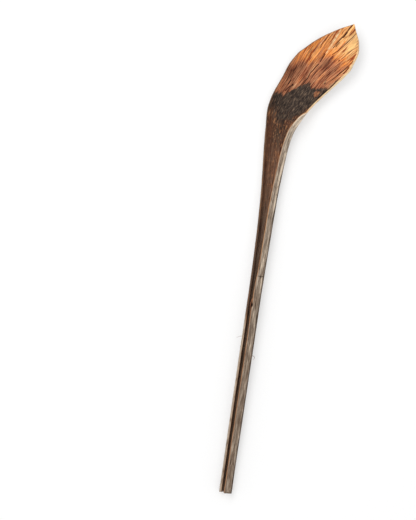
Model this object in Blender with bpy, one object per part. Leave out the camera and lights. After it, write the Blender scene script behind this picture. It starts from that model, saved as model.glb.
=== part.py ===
"""A dried coconut palm frond, cut and lying on its back: one woody wall, rolled into a channelled
stalk that opens at an elbow into a boat-shaped blade with a pointed tip.

The wall is a swept section. A spine runs from the cut foot to the tip, drawn by its heading. At each
place along it the wall's middle line starts on the spine and turns as it runs out to each rim, and the
outline's half widths set how far it runs. Lengths in the tables are millimetres and angles degrees.
+Y runs along the stalk towards the blade, +X is the side that the blade bends to, and +Z is up.
"""

import bmesh
import bpy
import numpy as np

MM = 0.001

LENGTH = 646.0  # along the spine, foot to tip
ORIGIN = (33.4, 313.3)  # the centre of the frond's outline, seen from above, from the foot of the spine
RESTING_FLAT = 0.4  # how much of the wall is worn away where the frond lies on it

# heading of the spine, seen from above, turned from +Y towards +X
SPINE = (
    (0, 0.0),
    (300, 0.0),
    (440, -1.4),
    (464, 1.0),
    (488, 10.0),
    (512, 22.0),
    (530, 28.5),
    (550, 29.8),
    (572, 30.4),
    (596, 34.2),
    (616, 35.0),
    (634, 30.0),
    (646, 22.0),
)

# half widths of the outline, left and right of the spine
OUTLINE = (
    (0, 8.6, 8.0),
    (180, 9.3, 8.2),
    (260, 9.3, 8.2),
    (300, 9.6, 8.8),
    (380, 11.5, 10.7),
    (440, 14.7, 15.2),
    (476, 17.8, 19.8),
    (500, 23.7, 24.5),
    (512, 25.7, 25.8),
    (536, 28.5, 28.5),
    (560, 32.4, 32.3),
    (572, 31.9, 34.4),
    (584, 29.0, 35.8),
    (596, 25.8, 36.2),
    (608, 22.1, 33.4),
    (620, 17.0, 29.5),
    (632, 11.1, 19.2),
    (640, 5.7, 7.6),
    (646, 0.8, 1.0),
)

# the wall's course: how far the section is rolled over to the left, then for the left and the right
# half how much it turns all along, how much more it turns at its fold, and where along the half that is
SECTION = (
    (0, 28, 20, 92, 0.36, 20, 105, 0.43),
    (180, 27, 20, 90, 0.36, 20, 105, 0.43),
    (260, 26, 20, 84, 0.38, 20, 107, 0.42),
    (300, 25, 20, 80, 0.40, 20, 107, 0.46),
    (380, 22, 18, 72, 0.45, 20, 106, 0.50),
    (440, 18, 15, 66, 0.50, 20, 104, 0.57),
    (476, 14, 15, 56, 0.54, 20, 100, 0.61),
    (500, 11, 15, 46, 0.58, 20, 95, 0.665),
    (510, 9, 15, 41, 0.60, 20, 82, 0.69),
    (518, 8, 15, 37, 0.60, 20, 59, 0.74),
    (526, 8, 15, 34, 0.62, 20, 48, 0.76),
    (540, 7, 15, 30, 0.65, 20, 43, 0.76),
    (572, 5, 15, 26, 0.65, 20, 38, 0.76),
    (608, 4, 12, 18, 0.65, 15, 30, 0.76),
    (632, 2, 8, 10, 0.65, 10, 15, 0.76),
    (646, 0, 3, 3, 0.65, 3, 3, 0.76),
)
FOLD_REACH = 0.22  # a fold takes this share of its half on either side of its middle
NEAR_SPINE = 0.05  # within this share of the half, the wall is too near the spine to touch the outline

# thickness of the wall at the left rim, the spine and the right rim
WALL = (
    (0, 3.0, 3.4, 3.0),
    (300, 2.6, 3.2, 2.8),
    (440, 2.2, 3.0, 2.8),
    (500, 1.8, 2.8, 2.7),
    (560, 1.4, 2.4, 2.5),
    (620, 1.2, 1.8, 2.0),
    (646, 1.0, 1.0, 1.0),
)

# height of the underside over the surface that the frond lies on
UNDERSIDE = (
    (0, 0.0),
    (15, 0.0),
    (140, 3.4),
    (240, 5.2),
    (340, 3.6),
    (430, 0.0),
    (556, 0.0),
    (576, 1.5),
    (600, 6.5),
    (625, 13.5),
    (646, 20.5),
)

# how closely the rings stand: each row is the place where a spacing begins
RINGS = ((0, 20.0), (360, 10.0), (460, 5.0), (500, 3.0), (530, 6.0), (626, 4.0))
COLUMNS = 11  # from the spine to each rim
STEPS = 8  # steps of the wall's course between two columns
SHARP_EDGE = 50  # the rims' edges are sharper than this, and stay crisp


def course(places, table):
    """The table's values at the places, on smooth curves that never overshoot a row (monotone cubics)."""
    rows = np.array(table, float)
    knots = rows[:, 0]
    values = rows[:, 1:]
    gaps = np.diff(knots)[:, None]
    slopes = np.diff(values, axis=0) / gaps
    before = slopes[:-1]
    after = slopes[1:]
    agree = before * after > 0
    tangents = np.vstack([slopes[:1], slopes[1:], slopes[-1:]])
    tangents[1:-1] = np.where(agree, 2 * before * after / np.where(agree, before + after, 1), 0)
    row = np.clip(np.searchsorted(knots, places, side="right") - 1, 0, len(gaps) - 1)
    gap = gaps[row]
    part = (places - knots[row])[:, None] / gap
    return (
        values[row] * (1 + 2 * part) * (1 - part) ** 2
        + values[row + 1] * part**2 * (3 - 2 * part)
        + tangents[row] * gap * part * (1 - part) ** 2
        - tangents[row + 1] * gap * part**2 * (1 - part)
    )


def running_sum(rates, step):
    """The integral of the rates along their last axis, from 0, by the trapezium rule."""
    middles = (rates[..., 1:] + rates[..., :-1]) / 2
    start = np.zeros(rates.shape[:-1] + (1,))
    return np.concatenate([start, np.cumsum(middles * step, axis=-1)], axis=-1)


def spine(places):
    """Where the spine is, seen from above, and the direction across it to the right, at the places."""
    step = 1.0
    along = np.arange(0, LENGTH + step, step)
    heading = np.radians(course(along, SPINE)[:, 0])
    x = running_sum(np.sin(heading), step)
    y = running_sum(np.cos(heading), step)
    heading = np.radians(course(places, SPINE)[:, 0])
    centre = np.stack([np.interp(places, along, x), np.interp(places, along, y)], axis=1)
    across = np.stack([np.cos(heading), -np.sin(heading)], axis=1)
    return centre, across


def half_section(side, width, roll, bow, fold, fold_place, spine_wall, rim_wall):
    """The outer and inner lines of one half of each section, from the spine to the rim.

    side is 1 on the right and -1 on the left. The middle line's direction starts at the roll and turns
    by the bow all along and by the fold around its place. Each half is as long as its outline allows.
    """
    share = np.linspace(0, 1, COLUMNS * STEPS + 1)
    folded = np.clip((share - fold_place + FOLD_REACH) / (2 * FOLD_REACH), 0, 1)
    folded = folded**2 * (3 - 2 * folded)
    turn = np.radians(roll + side * (bow * share + fold * folded))
    step = share[1]
    x = running_sum(side * np.cos(turn), step)
    z = running_sum(side * np.sin(turn), step)
    half_wall = (spine_wall + (rim_wall - spine_wall) * share) / 2
    out_x = half_wall * np.sin(turn)
    out_z = -half_wall * np.cos(turn)
    reach = np.maximum(side * x, NEAR_SPINE)
    room = np.where(reach > NEAR_SPINE, (width - side * out_x) / reach, np.inf)
    length = room.min(axis=1, keepdims=True)
    outer = np.stack([length * x + out_x, length * z + out_z], axis=2)
    inner = np.stack([length * x - out_x, length * z - out_z], axis=2)
    return outer[:, ::STEPS], inner[:, ::STEPS]


def wall_rings(places):
    """The closed rings of the wall, one for each place: out from rim to rim, and back along the inside."""
    left_width, right_width = course(places, OUTLINE).T[:, :, None]
    roll, *turns = course(places, SECTION).T[:, :, None]
    left_wall, spine_wall, right_wall = course(places, WALL).T[:, :, None]
    left_outer, left_inner = half_section(-1, left_width, roll, *turns[:3], spine_wall, left_wall)
    right_outer, right_inner = half_section(1, right_width, roll, *turns[3:], spine_wall, right_wall)
    outer = np.concatenate([left_outer[:, ::-1], right_outer[:, 1:]], axis=1)
    inner = np.concatenate([left_inner[:, ::-1], right_inner[:, 1:]], axis=1)
    lift = course(places, UNDERSIDE) - RESTING_FLAT - outer[:, :, 1].min(axis=1, keepdims=True)
    outer[:, :, 1] = np.maximum(outer[:, :, 1] + lift, 0)
    inner[:, :, 1] += lift
    ring = np.concatenate([outer, inner[:, ::-1]], axis=1)
    centre, across = spine(places)
    plan = centre[:, None] + ring[:, :, :1] * across[:, None] - np.array(ORIGIN)
    return np.concatenate([plan, ring[:, :, 1:]], axis=2) * MM


def ring_places():
    """The places of the rings along the spine, from the RINGS table."""
    ends = [start for start, spacing in RINGS[1:]] + [LENGTH]
    runs = [np.arange(start, end - spacing / 2, spacing) for (start, spacing), end in zip(RINGS, ends)]
    return np.append(np.concatenate(runs), LENGTH)


def clear_scene():
    """Remove what the scene holds."""
    for item in list(bpy.data.objects):
        bpy.data.objects.remove(item, do_unlink=True)


def frond_material():
    """Dried, weathered husk: a matt brown."""
    material = bpy.data.materials.new("dried_husk")
    material.use_nodes = True
    surface = material.node_tree.nodes["Principled BSDF"]
    surface.inputs["Base Color"].default_value = (0.20, 0.115, 0.065, 1.0)
    surface.inputs["Roughness"].default_value = 0.75
    surface.inputs["Metallic"].default_value = 0.0
    return material


def make_frond():
    """The wall as one closed body: quads between the rings, and a strip of quads over each end."""
    rings = wall_rings(ring_places())
    body = bmesh.new()
    points = [[body.verts.new(point) for point in ring] for ring in rings.tolist()]
    around = len(points[0])
    for near, far in zip(points[:-1], points[1:]):
        for here in range(around):
            after = (here + 1) % around
            body.faces.new((near[here], far[here], far[after], near[after]))
    foot = points[0]
    tip = points[-1]
    for here in range(around // 2 - 1):
        back = around - 1 - here
        body.faces.new((foot[here], foot[here + 1], foot[back - 1], foot[back]))
        body.faces.new((tip[back], tip[back - 1], tip[here + 1], tip[here]))
    bmesh.ops.recalc_face_normals(body, faces=body.faces)
    mesh = bpy.data.meshes.new("frond")
    body.to_mesh(mesh)
    body.free()
    mesh.shade_smooth()
    mesh.set_sharp_from_angle(angle=np.radians(SHARP_EDGE))
    mesh.materials.append(frond_material())
    frond = bpy.data.objects.new("frond", mesh)
    bpy.context.scene.collection.objects.link(frond)
    return frond


clear_scene()
make_frond()
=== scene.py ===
"""A dried coconut palm frond, cut and lying on its back with its hollow up, as a fine fibrous shell.

The file is laid out as an add-on and run as a script. The woody wall is the same swept section as the
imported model's: a spine runs from the cut foot to the tip, and the wall's middle line starts on it and
turns as it runs out to each rim. Here the section is worked out on a fine grid, with ribs, folds, cracks
and worn rims, and with a few loose fibres. Lengths in the tables are millimetres and angles degrees.
+Y runs along the stalk towards the blade, +X is the side that the blade bends to, and +Z is up.
"""

import bpy
import numpy as np
from bpy.props import FloatProperty, FloatVectorProperty, IntProperty, PointerProperty
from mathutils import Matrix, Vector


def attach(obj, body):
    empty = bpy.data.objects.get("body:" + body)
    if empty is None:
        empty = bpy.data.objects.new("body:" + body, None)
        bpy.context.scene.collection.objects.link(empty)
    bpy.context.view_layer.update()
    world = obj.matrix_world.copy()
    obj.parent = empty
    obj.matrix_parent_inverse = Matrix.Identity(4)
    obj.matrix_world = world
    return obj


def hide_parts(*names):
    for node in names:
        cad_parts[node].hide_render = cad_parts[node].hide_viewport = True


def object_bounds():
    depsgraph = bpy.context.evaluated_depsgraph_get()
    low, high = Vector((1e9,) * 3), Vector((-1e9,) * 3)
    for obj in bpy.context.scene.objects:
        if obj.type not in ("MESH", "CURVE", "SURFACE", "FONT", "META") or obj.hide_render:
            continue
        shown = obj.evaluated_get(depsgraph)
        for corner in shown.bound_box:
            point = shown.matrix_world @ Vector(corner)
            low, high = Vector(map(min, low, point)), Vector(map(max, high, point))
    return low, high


bl_info = {
    "name": "Dried Palm Frond",
    "version": (1, 0, 0),
    "blender": (4, 5, 0),
    "location": "3D View > Sidebar > Frond",
    "description": "A dried palm frond with a channelled stalk and a boat-shaped blade",
    "category": "Add Mesh",
}

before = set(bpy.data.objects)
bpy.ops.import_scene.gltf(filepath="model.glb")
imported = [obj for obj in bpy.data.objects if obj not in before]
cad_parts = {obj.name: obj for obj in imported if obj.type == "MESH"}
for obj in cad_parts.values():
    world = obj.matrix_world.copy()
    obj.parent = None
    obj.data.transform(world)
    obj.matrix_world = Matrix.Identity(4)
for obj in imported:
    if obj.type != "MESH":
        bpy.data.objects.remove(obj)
CAD_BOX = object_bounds()

BODY = "root"
NODE = "frond"
MM = 0.001

LENGTH = 646.0  # along the spine, foot to tip
ORIGIN = (33.4, 313.3)  # the centre of the frond's outline, seen from above, from the foot of the spine
RESTING_FLAT = 0.4  # how much of the wall is worn away where the frond lies on it

# heading of the spine, seen from above, turned from +Y towards +X
SPINE = (
    (0, 0.0),
    (300, 0.0),
    (440, -1.4),
    (464, 1.0),
    (488, 10.0),
    (512, 22.0),
    (530, 28.5),
    (550, 29.8),
    (572, 30.4),
    (596, 34.2),
    (616, 35.0),
    (634, 30.0),
    (646, 22.0),
)

# half widths of the outline, left and right of the spine
OUTLINE = (
    (0, 8.6, 8.0),
    (180, 9.3, 8.2),
    (260, 9.3, 8.2),
    (300, 9.6, 8.8),
    (380, 11.5, 10.7),
    (440, 14.7, 15.2),
    (476, 17.8, 19.8),
    (500, 23.7, 24.5),
    (512, 25.7, 25.8),
    (536, 28.5, 28.5),
    (560, 32.4, 32.3),
    (572, 31.9, 34.4),
    (584, 29.0, 35.8),
    (596, 25.8, 36.2),
    (608, 22.1, 33.4),
    (620, 17.0, 29.5),
    (632, 11.1, 19.2),
    (640, 5.7, 7.6),
    (646, 0.8, 1.0),
)

# the wall's course: how far the section is rolled over to the left, then for the left and the right
# half how much it turns all along, how much more it turns at its fold, and where along the half that is
SECTION = (
    (0, 28, 20, 92, 0.36, 20, 105, 0.43),
    (180, 27, 20, 90, 0.36, 20, 105, 0.43),
    (260, 26, 20, 84, 0.38, 20, 107, 0.42),
    (300, 25, 20, 80, 0.40, 20, 107, 0.46),
    (380, 22, 18, 72, 0.45, 20, 106, 0.50),
    (440, 18, 15, 66, 0.50, 20, 104, 0.57),
    (476, 14, 15, 56, 0.54, 20, 100, 0.61),
    (500, 11, 15, 46, 0.58, 20, 95, 0.665),
    (510, 9, 15, 41, 0.60, 20, 82, 0.69),
    (518, 8, 15, 37, 0.60, 20, 59, 0.74),
    (526, 8, 15, 34, 0.62, 20, 48, 0.76),
    (540, 7, 15, 30, 0.65, 20, 43, 0.76),
    (572, 5, 15, 26, 0.65, 20, 38, 0.76),
    (608, 4, 12, 18, 0.65, 15, 30, 0.76),
    (632, 2, 8, 10, 0.65, 10, 15, 0.76),
    (646, 0, 3, 3, 0.65, 3, 3, 0.76),
)
FOLD_REACH = 0.22  # a fold takes this share of its half on either side of its middle
NEAR_SPINE = 0.05  # within this share of the half, the wall is too near the spine to touch the outline

# thickness of the wall at the left rim, the spine and the right rim
WALL = (
    (0, 3.0, 3.4, 3.0),
    (300, 2.6, 3.2, 2.8),
    (440, 2.2, 3.0, 2.8),
    (500, 1.8, 2.8, 2.7),
    (560, 1.4, 2.4, 2.5),
    (620, 1.2, 1.8, 2.0),
    (646, 1.0, 1.0, 1.0),
)

# height of the underside over the surface that the frond lies on
UNDERSIDE = (
    (0, 0.0),
    (15, 0.0),
    (140, 3.4),
    (240, 5.2),
    (340, 3.6),
    (430, 0.0),
    (556, 0.0),
    (576, 1.5),
    (600, 6.5),
    (625, 13.5),
    (646, 20.5),
)

# how closely the rings stand: each row is the place where a spacing begins
RINGS = (
    (0, 4.6),
    (236, 1.4),
    (259, 4.4),
    (282, 0.5),
    (288, 4.6),
    (400, 2.6),
    (470, 1.7),
    (530, 1.0),
    (596, 0.6),
)
STEPS = 360  # of the wall's course, from the spine to a rim
INNER_STRIDE = 4  # steps between two columns of the inner face
OUTER_STRIDE = 8  # steps between two columns of the outer face
RIM_POINTS = 7  # across a rim's edge, between the two faces
RIM_ROUNDING = 0.5
RIM_SQUARENESS = 0.6  # below 1, a rim's edge is squarer than a half oval
FOOT_UNEVENNESS = 0.5  # how deep the cut foot's face is pressed in
NOTCH = (247.5, 3.0, 1.1)  # in the right rim: place, half length and depth
CROSS_CRACK = (285.0, 22.6, 0.60, 7.5)  # in the outer face: place, fibre, half length and half width
FRESH_RIM = (0.925, 0.965)  # beside the blade's right rim the inner face turns pale between these shares
EDGE_FADE = 24  # relief fades out near a rim, as the share of the half raised to this power

OUTER, RIM, INNER, FOOT = range(4)  # the shell's materials
MASKS = ("ripe", "char", "shade_and_dark_marks", "pale", "smooth", "fleck", "rib_shading", "bleach", "edge", "tone")

# the bake's map: the place where the unrolled wall is cut, the gap beside a piece of it, how much of the
# map's height it takes, and the size of an end's grid above it
BAKE_CUT = 380
BAKE_GAP = 4.0
BAKE_SHARE = 0.94
BAKE_CAP_WIDTH = 0.4
BAKE_CAP_HEIGHT = 0.02

# where the fibres fan out past the widest place, and by how much of their distance with each mm
FAN_FROM = 560
FAN_RATE = 0.008
FIBRE_REACH = 30.0  # the fibre coordinate at a rim, where the fibres run along it

# how ripe the wall's inner colour is, from dark husk (0) to gold (1): at each place along the spine,
# at the offsets across it that RIPE_ACROSS gives
RIPE_ACROSS = (-26, -18, -9, -2, 8, 18, 28)
RIPENESS = (
    (0, 0.04, 0.04, 0.04, 0.03, 0.04, 0.04, 0.06),
    (300, 0.04, 0.04, 0.04, 0.03, 0.04, 0.04, 0.06),
    (345, 0.06, 0.06, 0.06, 0.04, 0.06, 0.08, 0.10),
    (385, 0.09, 0.09, 0.09, 0.06, 0.09, 0.11, 0.13),
    (424, 0.15, 0.13, 0.12, 0.10, 0.14, 0.17, 0.19),
    (450, 0.15, 0.12, 0.09, 0.06, 0.09, 0.15, 0.19),
    (464, 0.16, 0.12, 0.08, 0.00, 0.04, 0.16, 0.26),
    (476, 0.14, 0.11, 0.07, 0.00, 0.02, 0.09, 0.20),
    (500, 0.05, 0.05, 0.04, 0.00, 0.05, 0.08, 0.12),
    (514, 0.34, 0.18, 0.06, 0.00, 0.04, 0.06, 0.12),
    (524, 0.50, 0.38, 0.28, 0.04, 0.05, 0.08, 0.14),
    (536, 0.44, 0.37, 0.40, 0.22, 0.08, 0.18, 0.24),
    (548, 0.30, 0.30, 0.46, 0.28, 0.27, 0.30, 0.24),
    (560, 0.52, 0.30, 0.46, 0.42, 0.46, 0.45, 0.38),
    (572, 0.68, 0.60, 0.56, 0.48, 0.50, 0.48, 0.48),
    # the dip in this row's middle is painted shade beside the dark groove at 582 to 595
    (584, 0.76, 0.76, 0.73, 0.42, 0.34, 0.40, 0.50),
    (596, 0.74, 0.80, 0.77, 0.72, 0.68, 0.56, 0.52),
    (608, 0.80, 0.80, 0.74, 0.80, 0.92, 0.84, 0.78),
    (620, 0.82, 0.82, 0.82, 0.84, 0.98, 1.00, 0.86),
    (646, 0.92, 0.92, 0.88, 0.92, 1.00, 1.00, 0.96),
)

# brown stains in the inner face: place, offset, half length, half width and how much ripeness they take; the
# first row is no stain but painted shade beside the dark groove at 582 to 595
STAINS_AND_SHADE = (
    # painted shade beside the dark groove at 582 to 595
    (591, 3.5, 9.0, 4.0, 0.17),
    (566, -16.0, 7.0, 6.0, 0.11),
    (573, -8.5, 5.0, 2.0, 0.12),
    (604, 28.5, 8.0, 1.6, 0.16),
    (616, 26.0, 5.0, 1.2, 0.22),
)

# how grey the inside of the channel is at each place, from brown (0) to grey (1)
INSIDE_GREY = (
    (0, 0.85),
    (250, 0.85),
    (300, 0.80),
    (345, 0.60),
    (385, 0.48),
    (424, 0.36),
    (452, 0.26),
    (480, 0.10),
    (646, 0.0),
)

# parts of the inner face, each with its place, offset, half length and half width
CALM_WOOD = (574, 4.0, 18.0, 16.0)  # fainter streaks
SMOOTH_PANEL = (624, 14.8, 9.0, 4.2)  # no furrows
CLEAN_PATCH = (546, 21.5, 5.5, 4.2)  # bare wood within the charred band

# the border where the charred band begins above and where it fades out below: offset and place
CHAR_ABOVE = (
    (-34, 510),
    (-27, 514),
    (-21, 520),
    (-12, 521),
    (-8.7, 529),
    (-3.4, 541),
    (0.5, 547),
    (4.7, 552),
    (12, 549.5),
    (18, 552),
    (23, 557),
    (27, 560),
    (36, 566),
)
CHAR_BELOW = (
    (-30, 494),
    (-21, 495),
    (-12, 492),
    (-4, 484),
    (5, 484),
    (12, 492),
    (18, 504),
    (28, 520),
)

# grooves in the inner face: points as place and offset, width, depth, and how dark it is inside, which is
# painted shade in the groove
GROOVES = (
    (((624, -0.9), (629, -1.1), (634, -1.5)), 1.1, 1.1, 1),
    (((631, -1.3), (638, -1.6), (644.5, -1.3)), 0.59, 0.5, 1),
    (((606, -1.5), (612, -1.7), (620.5, -1.9), (627, -1.2)), 0.65, 0.5, 0.94),
    (((609, 0.3), (612, 0.1), (617, -0.2)), 0.72, 0.5, 1),
    (((582, -1.9), (584.5, -2.1), (590.5, -2.9), (594.5, -3.7)), 0.8, 0.9, 1),
    (((545, -1.3), (555, -1.1), (563.5, -2.5), (572, -2.0), (580, -1.2)), 0.75, 0.6, 1),
    (((626, -4.8), (631, -5.9), (637, -4.7)), 0.75, 0.35, 0.62),
    (((621, -9.4), (624, -9.8), (630, -11.3)), 0.8, 0.3, 0.56),
    (((599, 3.9), (606, 5.2), (612.5, 6.2), (624.5, 7.6), (639, 9.1)), 0.65, 0.45, 0.88),
    (((616, 9.0), (625, 9.8), (635, 10.6)), 0.52, 0.25, 0.44),
    (((621, 3.1), (627, 2.6), (633, 3.1), (638, 3.4)), 0.65, 0.25, 0.5),
    (((602, 16.4), (611, 17.6), (618.5, 18.5), (629, 22.5)), 0.65, 0.35, 0.75),
    (((608, 20.4), (619.5, 21.6), (627, 23.6)), 0.59, 0.3, 0.62),
    (((606, 23.6), (613, 24.4), (620, 26.0)), 0.59, 0.3, 0.56),
    (((595, -14.0), (601.5, -15.5), (609, -16.6)), 0.65, 0.3, 0.75),
    (((606, -15.6), (609.5, -16.5), (615, -17.8)), 0.75, 0.3, 0.62),
    (((572, 25.2), (578, 27.0), (588, 28.4), (597.5, 29.6), (611, 30.0)), 0.65, 0.5, 1),
    (((589, 32.2), (594, 32.2), (602, 31.7)), 0.8, 0.7, 1),
    (((566, 18.3), (574, 18.6), (586, 20.7)), 0.52, 0.35, 0.69),
    (((585, 21.0), (592, 20.3), (598, 19.4)), 0.45, 0.25, 0.5),
    (((536, 26.4), (541, 26.9), (550.5, 27.6), (559, 29.9), (567, 30.6), (578, 31.9)), 0.75, 0.6, 1),
    (((551, -22.0), (556, -22.0), (561, -23.2)), 0.65, 0.35, 0.88),
    (((536, -21.0), (540.5, -21.8), (547, -23.6), (552, -24.6)), 0.72, 0.35, 0.88),
    (((540, -15.6), (545.5, -15.3)), 0.65, 0.3, 0.75),
    (((534, -16.6), (541, -17.0)), 0.75, 0.3, 1.1),
    (((526, -14.3), (528.5, -14.0), (535, -12.6)), 0.70, 0.35, 1.1),
    (((546, -29.4), (552, -31.2)), 0.75, 0.3, 0.75),
    (((561, -17.0), (567, -18.6), (574, -20.4)), 0.65, 0.3, 0.62),
    (((566, -8.2), (574, -9.0), (583, -10.0)), 0.59, 0.25, 0.5),
    (((577, -20.0), (584, -21.5), (592, -23.0)), 0.65, 0.3, 0.62),
)

# raised ridges: points as place and offset, width, height, and how pale it is, partly the ridge's own pale
# fibre and partly painted highlight on its top
RIDGES = (
    (((595, -3.2), (600, -3.9), (608, -5.3), (615, -6.6)), 0.9, 0.45, 1.0),
    (((611, -6.3), (616, -7.3), (622, -8.7), (630, -9.6)), 1.2, 0.5, 1.0),
    (((600, -5.2), (608, -6.8), (618, -9.0)), 0.6, 0.25, 0.6),
    (((604, -2.6), (607, -2.3), (611, -2.2)), 0.6, 0.3, 0.9),
    (((614, 6.3), (622, 6.1), (631, 6.2)), 0.5, 0.15, 0.5),
    (((616, 8.0), (626, 8.7), (637, 9.3)), 0.45, 0.2, 0.75),
    (((632, 1.4), (638, -0.2)), 0.8, 0.15, 0.4),
    (((556, -2.4), (566, -3.6), (579, -3.2)), 0.6, 0.25, 0.45),
    (((577, 30.8), (585, 31.0), (595, 30.6)), 0.55, 0.3, 0.55),
    (((564, 28.7), (570, 30.0), (577, 31.2)), 0.8, 0.3, 0.35),
    (((598, -16.9), (605, -17.6), (611, -18.6)), 0.6, 0.2, 0.55),
    (((562.5, 20.3), (567.5, 19.8)), 0.9, 0.5, 0.45),
    (((534, -9.5), (541, -8.6)), 0.8, 0.2, 0.4),
)

# small pits and knots in the inner face: place, offset, radius, depth, and how dark: above 1, the dark
# core only gets wider
# the dark cores are painted shade in the pits
PITS = (
    (537, -11.4, 1.2, 0.8, 2.0),
    (526.5, -14.3, 0.9, 0.4, 1.5),
    (564, 20.9, 0.9, 0.4, 1.3),
    (599.5, 15.7, 0.8, 0.3, 1.5),
    (616, 27.0, 1.2, 0.3, 0.5),
    # painted shade of the channel, seen through the rim's notch, put on the channel's floor
    (246.5, -3.3, 2.0, 0.5, 1.5),
    (586.5, 21.2, 0.8, 0.3, 0.9),
)

# golden flecks in the dark throat: place, offset and half length
FLECKS = (
    (500.5, -7.6, 3.0),
    (488.0, -8.8, 2.6),
    (491.0, 5.1, 3.2),
    (503.5, -10.7, 2.4),
    (494.5, -19.1, 4.5),
    (525.5, 11.8, 2.2),
    (502.0, 3.3, 3.0),
    (497.0, -15.0, 4.0),
    (484.0, 9.0, 3.6),
    (476.0, 2.5, 2.4),
    (545.0, 20.5, 3.5),
    (541.0, 19.5, 2.5),
    (548.5, 22.8, 3.0),
    (506.0, 17.0, 3.0),
)

# how pale the outer face is, from brown (0) to bleached (1), at the left rim, the spine and the right rim
BLEACHING = (
    (0, 0.40, 0.04, 0.46),
    (150, 0.40, 0.04, 0.48),
    (300, 0.44, 0.06, 0.57),
    (400, 0.44, 0.12, 0.60),
    (450, 0.44, 0.30, 0.62),
    (476, 0.42, 0.36, 0.66),
    (492, 0.42, 0.38, 0.92),
    (510, 0.40, 0.40, 0.98),
    (530, 0.34, 0.36, 0.70),
    (580, 0.36, 0.38, 0.50),
    (646, 0.42, 0.42, 0.54),
)
# from what share of the right half the outer face takes the right rim's bleaching, at each place; short of it
# the face keeps the spine's darker tone, partly its sheltered brown and partly painted shade where it turns
# down and away at the right silhouette
BLEACH_FROM = ((0, 0.51), (290, 0.52), (345, 0.56), (400, 0.58), (430, 0.58), (646, 0.50))

# pale chips in the outer face: place, fibre, half length and half width
CHIPS = (
    (280.5, 20.0, 3.0, 1.3),
    (272.0, 19.5, 4.0, 0.8),
    (236.0, 24.0, 6.0, 0.6),
    (208.0, 19.5, 5.0, 0.8),
    (221.0, 19.8, 4.0, 0.8),
    (296.0, 25.0, 7.0, 0.6),
    (436.0, 23.0, 3.0, 0.9),
    (384.0, 20.6, 4.0, 0.9),
)

# pale streaks in the outer face: points as place and fibre, width, and how pale
BRIGHT_STREAKS = (
    (((376, 21.0), (390, 21.4), (404, 22.0), (424, 22.6), (448, 23.2)), 1.3, 0.75),
    (((304, 22.2), (322, 21.8), (346, 21.2)), 1.2, 0.34),
    (((256, 19.4), (270, 19.2), (287, 19.0)), 0.9, 0.26),
    (((196, 19.8), (212, 19.6), (230, 19.2)), 0.8, 0.22),
    (((352, 27.6), (372, 27.8), (396, 27.4)), 0.8, 0.20),
    (((466, 22.0), (484, 22.6), (500, 23.6)), 1.3, 0.30),
)

# dark streaks in the outer face: points as place and fibre, width, and how dark. The first row and the row
# from 436 to 516 are painted shade, a dark line where the face turns down and away at the right silhouette.
DARK_STREAKS_AND_SHADE = (
    # painted shade along the right silhouette
    (((0, 16.2), (170, 16.3), (290, 16.6), (330, 17.9), (372, 18.4), (420, 19.2)), 1.1, 0.80),
    (((308, 26.2), (330, 26.0), (356, 25.6)), 0.9, 0.36),
    (((382, 25.2), (396, 25.0), (424, 25.6)), 0.9, 0.34),
    (((214, 26.4), (224, 26.0), (234, 26.2)), 1.6, 0.30),
    (((184, 27.6), (196, 27.0), (206, 27.2)), 1.2, 0.28),
    (((378, 23.6), (382, 23.4), (386, 23.2)), 0.7, 0.45),
    (((418, 25.8), (421, 25.4), (425, 25.0)), 0.8, 0.45),
    (((357, 20.0), (361, 19.6), (365, 19.4)), 0.8, 0.40),
    (((454, 24.0), (464, 24.4), (478, 25.0)), 1.1, 0.32),
    # painted shade along the right silhouette
    (((436, 18.2), (464, 19.6), (484, 20.7), (500, 21.8), (516, 23.6)), 0.9, 0.62),
    (((256, 23.6), (272, 23.2), (283, 22.8)), 0.5, 0.30),
)

# the rims: for the left and then the right one, how pale the wood is from brown (0) to cream (1), how much
# of the rim's width the weathered skin takes from its outer side, and how bleached that is
RIMS = (
    (0, 0.40, 0.85, 0.70, 0.42, 0.30, 0.44),
    (218, 0.42, 0.85, 0.76, 0.38, 0.30, 0.46),
    (240, 0.05, 0.30, 0.35, 0.38, 0.30, 0.50),
    (270, 0.00, 0.15, 0.15, 0.44, 0.32, 0.55),
    (345, 0.02, 0.20, 0.15, 0.56, 0.35, 0.60),
    (400, 0.10, 0.40, 0.25, 0.46, 0.40, 0.64),
    (440, 0.12, 0.35, 0.25, 0.44, 0.50, 0.66),
    (480, 0.06, 0.20, 0.15, 0.52, 0.58, 0.80),
    (500, 0.05, 0.15, 0.10, 0.50, 0.56, 1.00),
    (512, 0.05, 0.15, 0.10, 0.60, 0.52, 1.04),
    (524, 0.10, 0.10, 0.15, 0.86, 0.40, 1.05),
    (560, 0.16, 0.10, 0.15, 0.95, 0.30, 1.05),
    (612, 0.30, 0.10, 0.20, 0.97, 0.20, 1.00),
    (626, 0.45, 0.10, 0.20, 0.76, 0.10, 0.80),
    (646, 0.55, 0.10, 0.30, 0.66, 0.10, 0.60),
)

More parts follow.
